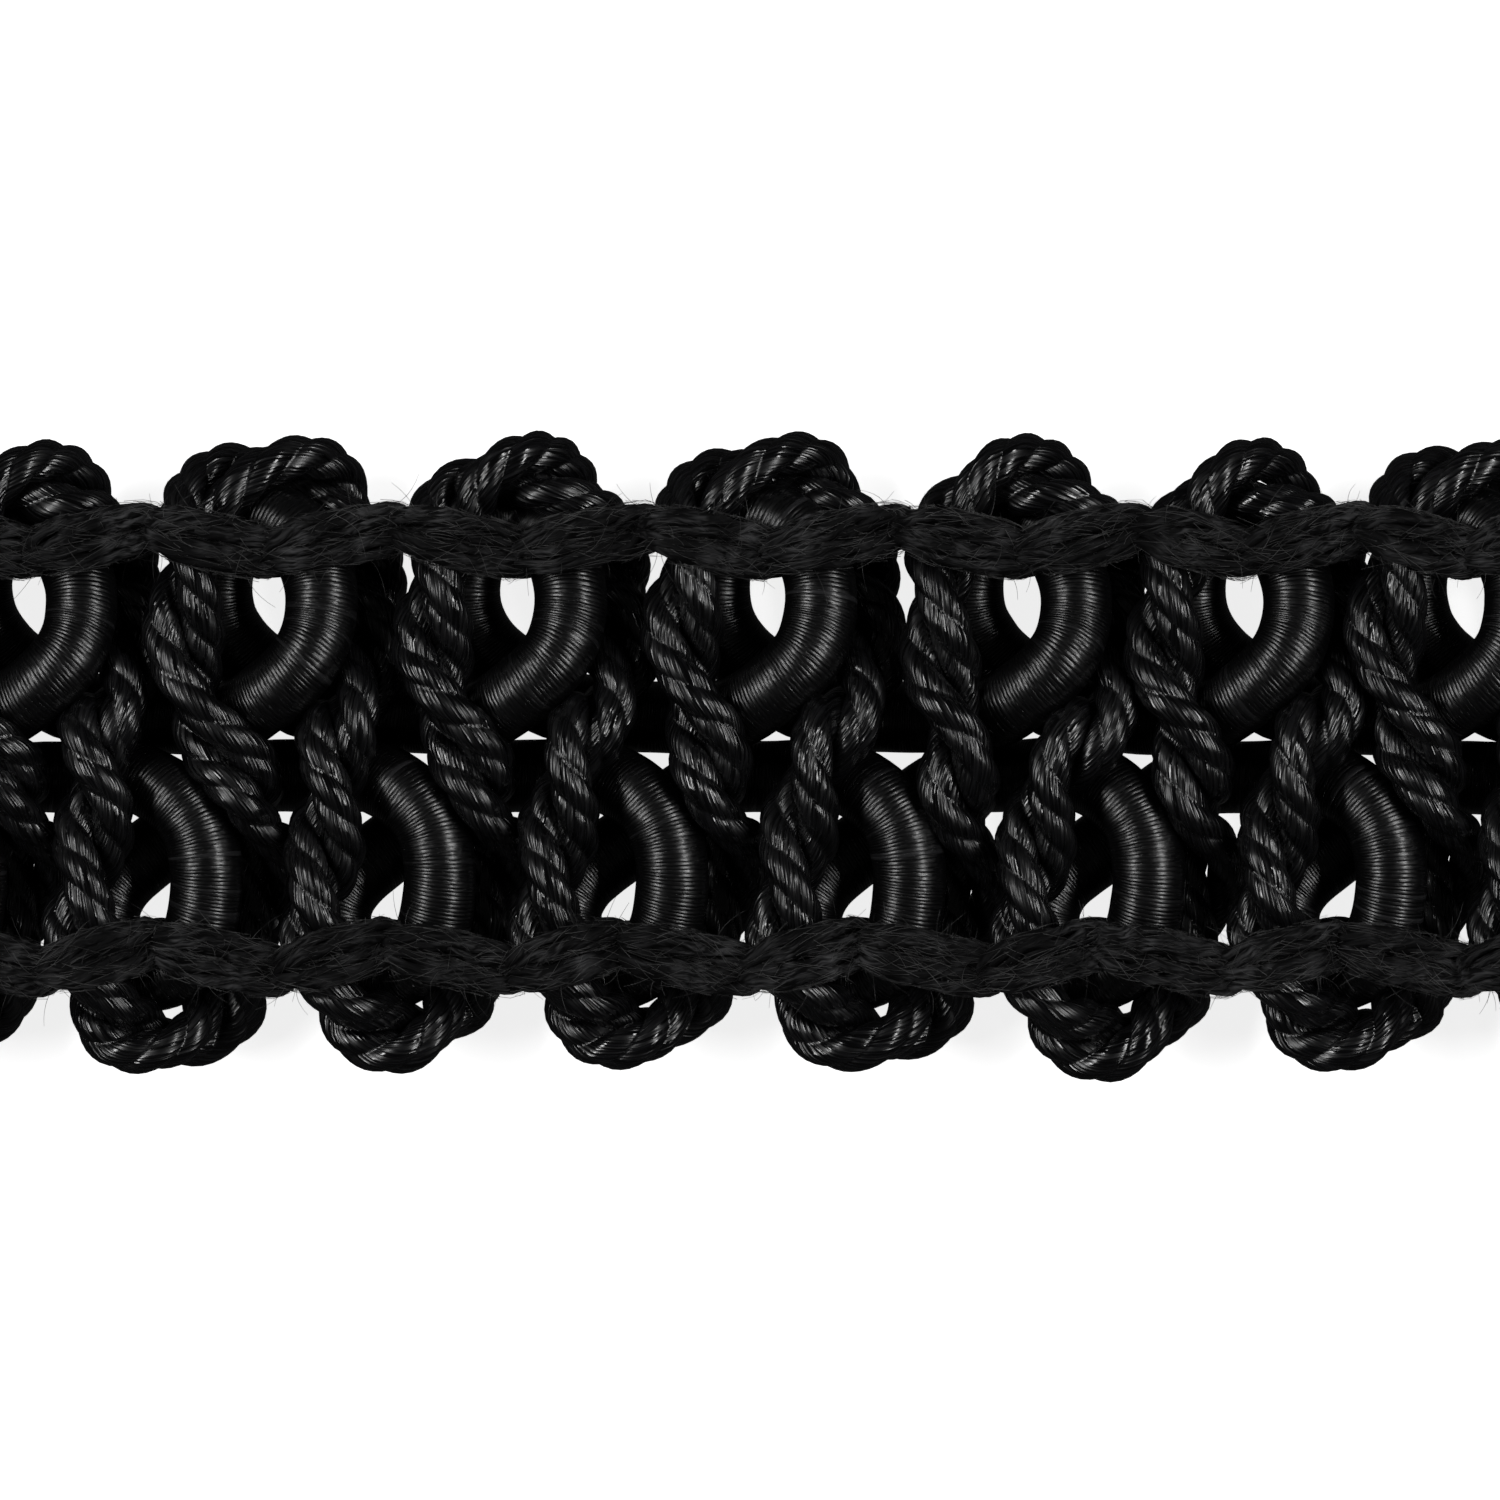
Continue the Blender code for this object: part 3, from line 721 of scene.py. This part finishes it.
def fibre_mesh(line):
    """One fibre: a thin tube along a line, finer at its far end."""
    share = np.linspace(0, 1, len(line))
    _, left, up = carried_frames(line)
    angle = 2 * math.pi * np.arange(3) / 3
    thin = HAIR_RADIUS * (1 - HAIR_THINNER * share)
    across = np.cos(angle)[None, :, None] * left[:, None, :]
    rise = np.sin(angle)[None, :, None] * up[:, None, :]
    grid = line[:, None, :] + thin[:, None, None] * (across + rise)
    return tube_mesh("fibre", grid, np.linspace(0, 1, 4), share)


def lying_fibre(line, left, up, dice):
    """A fibre on the yarn's surface that drifts round it as it runs along."""
    length = dice.uniform(*LYING_LENGTH) / YARN_RING
    start = dice.uniform(0, len(line) - 1 - length)
    at = start + length * np.linspace(0, 1, HAIR_STEPS)
    angle = dice.uniform(0, 2 * math.pi) + dice.normal(0, LYING_DRIFT) * np.linspace(0, 1, HAIR_STEPS)
    out = LEG_RADIUS * (dice.uniform(*LYING_OUT) + LYING_LIFT * np.linspace(-1, 1, HAIR_STEPS) ** 2)
    place = np.arange(len(line))
    middle, side, rise = (
        np.stack([np.interp(at, place, rows[:, axis]) for axis in range(3)], axis=1)
        for rows in (line, left, up)
    )
    return middle + (out * np.cos(angle))[:, None] * side + (out * np.sin(angle))[:, None] * rise


def loose_fibre(root, way, dice):
    """A fibre that stands off the yarn and bends over."""
    length = dice.uniform(*HAIR_LENGTH)
    bend = dice.normal(0, 1, 3)
    bend -= way * (bend @ way)
    bend /= np.linalg.norm(bend)
    share = np.linspace(0, 1, HAIR_STEPS)[:, None]
    return root + way * length * share + bend * length * dice.uniform(*HAIR_BEND) * share**2


def roving_meshes(line, radius, flat, seed):
    """Loosely twisted strands of spun fibre that together make one yarn."""
    dice = np.random.default_rng(seed)
    along = lengths_along(line)
    _, left, up = frames(line) if flat < 1 else carried_frames(line)
    up = up * flat
    meshes = []
    for number in range(ROVINGS):
        first = 2 * math.pi * (number + dice.uniform(-ROVING_START, ROVING_START)) / ROVINGS
        angle = first - 2 * math.pi * along / ROVING_PITCH
        angle = angle + sway(along, STRAY_ROUND, seed * 31 + number)
        out = radius * ROVING_OUT * (1 + sway(along, STRAY_OUT, seed * 37 + number))
        middle = line + (out * np.cos(angle))[:, None] * left + (out * np.sin(angle))[:, None] * up
        thick = radius * ROVING_THICK * (1 + sway(along, STRAY_THICK, seed * 41 + number))
        around = np.linspace(0, 2 * math.pi, ROVING_SIDES + 1)[:-1]
        across = np.cos(around)[None, :, None] * left[:, None, :]
        rise = np.sin(around)[None, :, None] * up[:, None, :]
        grid = middle[:, None, :] + thick[:, None, None] * (across + rise)
        grid[:, :, 2] = np.maximum(grid[:, :, 2], 0)
        meshes.append(tube_mesh("roving", grid, np.linspace(0, 1, ROVING_SIDES + 1), along * MM))
    return meshes


def chain_mesh(name, chain, heads, lines, radii, seed):
    stitches = stitch_lines(chain, heads, lines, radii)
    meshes = []
    for number, line in enumerate(stitches):
        meshes += roving_meshes(line, LEG_RADIUS, 1.0, seed + number)
    joints = chain_joints(chain, heads)
    spots = [(x, post, FLOAT_THICK / 2) for x, _, post in joints]
    spots[0] = (spots[0][0] - FLOAT_WIDTH, *spots[0][1:])
    spots[-1] = (spots[-1][0] + FLOAT_WIDTH, *spots[-1][1:])
    back = smooth_line(spots, YARN_RING)
    meshes += roving_meshes(back, FLOAT_WIDTH / 2, FLOAT_THICK / FLOAT_WIDTH, seed + 40)
    tops = np.array([(line[0][0], line[0][2]) for line in stitches])
    for x, _, post in joints:
        top = float(np.interp(x, tops[:, 0], tops[:, 1]))
        upright = smooth_line([(x, post, FLOAT_THICK / 2), (x, post, top)], YARN_RING)
        meshes += roving_meshes(upright, POST_RADIUS, 1.0, seed + 41)
    return joined(name, meshes), stitches


def chain_fibres(name, stitches, seed):
    """The fibres that lie on a chain's yarn and those that stand off it."""
    dice = np.random.default_rng(seed)
    fibres = []
    for line in stitches:
        ahead, left, up = carried_frames(line)
        run = lengths_along(line)[-1] * MM
        fibres += [lying_fibre(line, left, up, dice) for _ in range(int(run * LYING_PER_MM))]
        first, last = len(line) // HAIR_FREE, len(line) * (HAIR_FREE - 1) // HAIR_FREE
        for k in dice.integers(first, last, int(run * HAIRS_PER_MM)):
            around = dice.uniform(0, 2 * math.pi)
            out = math.cos(around) * left[k] + math.sin(around) * up[k]
            way = out + dice.normal(0, 1) * ahead[k]
            fibres.append(loose_fibre(line[k] + out * YARN_RADIUS, way / np.linalg.norm(way), dice))
    for fibre in fibres:
        fibre[:, 2] = np.maximum(fibre[:, 2], 2 * HAIR_RADIUS)
    return joined(name, [fibre_mesh(fibre) for fibre in fibres])


def new_material(name, colour, roughness):
    material = bpy.data.materials.new(name)
    material.use_nodes = True
    shader = material.node_tree.nodes["Principled BSDF"]
    shader.inputs["Base Color"].default_value = (*colour, 1)
    shader.inputs["Roughness"].default_value = roughness
    return material, shader


def maths(tree, operation, first, second=None):
    """A maths node; either side may be a number or another node's output."""
    node = tree.nodes.new("ShaderNodeMath")
    node.operation = operation
    for socket, value in zip(node.inputs, (first, second)):
        if value is None:
            continue
        if isinstance(value, (int, float)):
            socket.default_value = value
        else:
            tree.links.new(value, socket)
    return node.outputs[0]


def uv_parts(tree):
    """How far round a strand, and how many millimetres along it."""
    place = tree.nodes.new("ShaderNodeUVMap")
    place.uv_map = "along"
    parts = tree.nodes.new("ShaderNodeSeparateXYZ")
    tree.links.new(place.outputs["UV"], parts.inputs[0])
    return parts.outputs["X"], parts.outputs["Y"]


def vector_of(tree, x, y, z=0.0):
    node = tree.nodes.new("ShaderNodeCombineXYZ")
    for socket, value in zip(node.inputs, (x, y, z)):
        if isinstance(value, (int, float)):
            socket.default_value = value
        else:
            tree.links.new(value, socket)
    return node.outputs[0]


def place_in_space(tree):
    """The place in the object's own metres."""
    return tree.nodes.new("ShaderNodeTexCoord").outputs["Object"]


def fibre_place(tree, across, along, across_scale, along_scale, own):
    """Where a point lies among fibres that run along a strand, with so many across and along it."""
    fine = maths(tree, "MULTIPLY", across, across_scale)
    long = maths(tree, "MULTIPLY", along, along_scale)
    return vector_of(tree, fine, long, own)


def noise(tree, vector, scale, detail, roughness=0.5):
    node = tree.nodes.new("ShaderNodeTexNoise")
    node.inputs["Scale"].default_value = scale
    node.inputs["Detail"].default_value = detail
    node.inputs["Roughness"].default_value = roughness
    tree.links.new(vector, node.inputs["Vector"])
    return node.outputs["Fac"]


def spread(tree, value, low, high, to_low, to_high):
    """Maps a value from one range to another, held at both ends."""
    node = tree.nodes.new("ShaderNodeMapRange")
    node.inputs["From Min"].default_value = low
    node.inputs["From Max"].default_value = high
    node.inputs["To Min"].default_value = to_low
    node.inputs["To Max"].default_value = to_high
    tree.links.new(value, node.inputs["Value"])
    return node.outputs["Result"]


def between(tree, share, dark, light):
    node = tree.nodes.new("ShaderNodeMix")
    node.data_type = "RGBA"
    node.inputs[6].default_value = (*dark, 1)
    node.inputs[7].default_value = (*light, 1)
    tree.links.new(share, node.inputs[0])
    return node.outputs[2]


def bump(tree, shader, height, distance):
    node = tree.nodes.new("ShaderNodeBump")
    node.inputs["Distance"].default_value = distance
    node.inputs["Strength"].default_value = 1.0
    tree.links.new(height, node.inputs["Height"])
    tree.links.new(node.outputs["Normal"], shader.inputs["Normal"])


def gimp_satin():
    """Threads wound side by side round the gimp, each of straight glossy filaments."""
    material, shader = new_material("gimp_satin", (0.010, 0.010, 0.011), 0.36)
    tree = material.node_tree
    around, along = uv_parts(tree)
    slanted = maths(tree, "ADD", along, maths(tree, "MULTIPLY", around, WRAP_STARTS * WRAP_PITCH * MM))
    threads = maths(tree, "DIVIDE", slanted, WRAP_PITCH * MM)
    wander = noise(tree, vector_of(tree, maths(tree, "MULTIPLY", around, 1.3), along), 1.4, 2)
    threads = maths(tree, "ADD", threads, maths(tree, "MULTIPLY", wander, THREAD_WANDER))
    ridge = maths(tree, "ABSOLUTE", maths(tree, "SINE", maths(tree, "MULTIPLY", threads, math.pi)))
    own = maths(tree, "FLOOR", threads)
    dice = tree.nodes.new("ShaderNodeTexWhiteNoise")
    dice.noise_dimensions = "1D"
    tree.links.new(own, dice.inputs["W"])
    each = dice.outputs["Value"]
    round_it = maths(tree, "MULTIPLY", around, THREAD_WAVES)
    finely = maths(tree, "MULTIPLY", slanted, FILAMENTS_PER_MM)
    strands = noise(tree, vector_of(tree, round_it, finely), 1.0, 2, 0.6)
    uneven = noise(tree, vector_of(tree, round_it, maths(tree, "MULTIPLY", own, 1.7)), 1.0, 1, 0.5)
    height = maths(tree, "MULTIPLY", ridge, spread(tree, each, 0, 1, THREAD_LOWEST, 1.0))
    height = maths(tree, "ADD", height, maths(tree, "MULTIPLY", strands, 0.9))
    height = maths(tree, "ADD", height, maths(tree, "MULTIPLY", uneven, THREAD_UNEVEN))
    bump(tree, shader, height, THREAD_RELIEF)
    stray = spread(tree, each, STRAY_FROM, 1.0, 0.0, 1.0)
    colour = between(tree, stray, *GIMP_TONES)
    tree.links.new(colour, shader.inputs["Base Color"])
    tree.links.new(spread(tree, strands, 0.3, 0.7, *GIMP_ROUGHNESS), shader.inputs["Roughness"])
    shader.inputs["Specular IOR Level"].default_value = GIMP_SPECULAR
    return material


def cord_rayon():
    """Long glossy filaments that run nearly along the cord, across its plies."""
    material, shader = new_material("cord_rayon", (0.009, 0.009, 0.010), 0.30)
    tree = material.node_tree
    around, along = uv_parts(tree)
    ply = maths(tree, "MULTIPLY", maths(tree, "FLOOR", around), PLY_OFFSET)
    across = maths(tree, "ADD", around, maths(tree, "MULTIPLY", along, FILAMENT_LEAN))
    bundles = noise(tree, fibre_place(tree, across, along, BUNDLES_PER_PLY, 1.0, ply), 1.0, 0.6)
    fine = noise(tree, fibre_place(tree, across, along, FILAMENTS_PER_PLY, 1.6, ply), 1.0, 1.0)
    height = maths(tree, "ADD", maths(tree, "MULTIPLY", bundles, 3.0), maths(tree, "MULTIPLY", fine, 0.5))
    bump(tree, shader, height, CORD_RELIEF)
    shade = spread(tree, fine, 0.45, 0.75, 0, 1)
    colour = between(tree, shade, *CORD_TONES)
    tree.links.new(colour, shader.inputs["Base Color"])
    tree.links.new(spread(tree, bundles, 0.44, 0.64, *CORD_ROUGHNESS), shader.inputs["Roughness"])
    shader.inputs["Specular IOR Level"].default_value = CORD_SPECULAR
    return material


def chain_yarn():
    """Matt spun fibres that lie along the yarn in a loose, hairy way, with painted glints on the raised
    ones.
    """
    material, shader = new_material("chain_yarn", (0.012, 0.012, 0.013), 0.78)
    tree = material.node_tree
    around, along = uv_parts(tree)
    across = maths(tree, "MULTIPLY", around, ROVING_WIDTH)
    wave = noise(tree, place_in_space(tree), YARN_WAVE_SCALE, 1)
    across = maths(tree, "ADD", across, maths(tree, "MULTIPLY", wave, YARN_WAVE))
    fibres = noise(tree, fibre_place(tree, across, along, *YARN_FIBRES, 0.0), 1.0, 2, 0.65)
    patches = spread(tree, noise(tree, place_in_space(tree), YARN_PATCH_SCALE, 1), 0.36, 0.64, 0.10, 1)
    bump(tree, shader, fibres, YARN_RELIEF)
    # The fibres the bump raises are painted lighter as painted glints, more in some random patches than in
    # others.
    light = maths(tree, "MULTIPLY", spread(tree, fibres, 0.44, 0.70, 0, 1), patches)
    colour = between(tree, light, *YARN_TONES_AND_GLINTS)
    tree.links.new(colour, shader.inputs["Base Color"])
    shader.inputs["Specular IOR Level"].default_value = YARN_SPECULAR
    return material


def fibre_with_painted_glints():
    """Single fibres, some of them painted paler as painted glints, as if they caught the light."""
    material, shader = new_material("loose_fibre", (0.05, 0.05, 0.05), 0.45)
    tree = material.node_tree
    # Random fibres are painted paler, a painted glint.
    tone = spread(tree, noise(tree, place_in_space(tree), YARN_WAVE_SCALE, 1), 0.35, 0.65, 0, 1)
    colour = between(tree, tone, *FIBRE_TONES_AND_GLINTS)
    tree.links.new(colour, shader.inputs["Base Color"])
    return material


def floor_white():
    material, shader = new_material("floor_white", (0.86, 0.86, 0.86), 0.9)
    tree = material.node_tree
    grain = noise(tree, place_in_space(tree), FLOOR_GRAIN, 2)
    colour = between(tree, grain, *FLOOR_TONES)
    tree.links.new(colour, shader.inputs["Base Color"])
    shader.inputs["Specular IOR Level"].default_value = FLOOR_SPECULAR
    shader.inputs["Emission Color"].default_value = (1, 1, 1, 1)
    shader.inputs["Emission Strength"].default_value = FLOOR_GLOW
    return material


def add_floor():
    mesh = bpy.data.meshes.new("floor")
    ways = ((-1, -1), (1, -1), (1, 1), (-1, 1))
    corners = [(FLOOR_HALF * x, FLOOR_HALF * y, FLOOR_LEVEL) for x, y in ways]
    mesh.from_pydata(corners, [], [(0, 1, 2, 3)])
    floor = bpy.data.objects.new("floor", mesh)
    mesh.materials.append(floor_white())
    bpy.context.scene.collection.objects.link(floor)
    floor.visible_glossy = False


def add_light(name, place, size, power):
    light = bpy.data.lights.new(name, "AREA")
    light.shape = "RECTANGLE"
    light.size, light.size_y = size
    light.energy = power
    lamp = bpy.data.objects.new(name, light)
    bpy.context.scene.collection.objects.link(lamp)
    lamp.location = place
    lamp.rotation_euler = (-lamp.location).to_track_quat("-Z", "Y").to_euler()


def add_camera():
    camera = bpy.data.cameras.new("camera")
    camera.sensor_width = SENSOR
    camera.lens = SENSOR * (CAMERA_HEIGHT - VIEW_PLANE) / VIEW_WIDTH
    camera.clip_start = 0.01
    stand = bpy.data.objects.new("camera", camera)
    stand.location = (*VIEW_MIDDLE, CAMERA_HEIGHT)
    bpy.context.scene.collection.objects.link(stand)
    bpy.context.scene.camera = stand


def add_studio():
    scene = bpy.context.scene
    scene.view_settings.view_transform = "Standard"
    world = bpy.data.worlds.new("studio")
    world.use_nodes = True
    world.node_tree.nodes["Background"].inputs["Color"].default_value = (1, 1, 1, 1)
    world.node_tree.nodes["Background"].inputs["Strength"].default_value = WORLD_LIGHT
    scene.world = world
    for light in LIGHTS:
        add_light(*light)
    add_floor()
    add_camera()


def main():
    add_studio()
    lines = strand_lines()
    radii = (GIMP_RADIUS, GIMP_RADIUS, CORD_RADIUS, CORD_RADIUS)
    satin, rayon, yarn = gimp_satin(), cord_rayon(), chain_yarn()
    for number, name in enumerate(("gimp_top", "gimp_bottom")):
        mesh = gimp_mesh("wrapped_" + name, lines[number], 11 + number)
        add_piece("wrapped_" + name, mesh, satin, [name])
    for number, name in enumerate(("twisted_cord_a", "twisted_cord_b")):
        line = smooth_line(lines[2 + number], CORD_RING)
        mesh = plied_mesh("plied_" + name, line, CORD_RADIUS + CORD_FULL, 31 + number)
        add_piece("plied_" + name, mesh, rayon, [name])
    hair_stuff = fibre_with_painted_glints()
    for name, chain, heads, seed in (
        ("edge_chain_top", TOP_CHAIN, TOP_HEADS, 51),
        ("edge_chain_bottom", BOTTOM_CHAIN, BOTTOM_HEADS, 71),
    ):
        mesh, stitches = chain_mesh("stitched_" + name, chain, heads, lines, radii, seed)
        add_piece("stitched_" + name, mesh, yarn, [name])
        fuzz = chain_fibres("fuzz_" + name, stitches, seed + 5)
        add_piece("fuzz_" + name, fuzz, hair_stuff, [])


main()
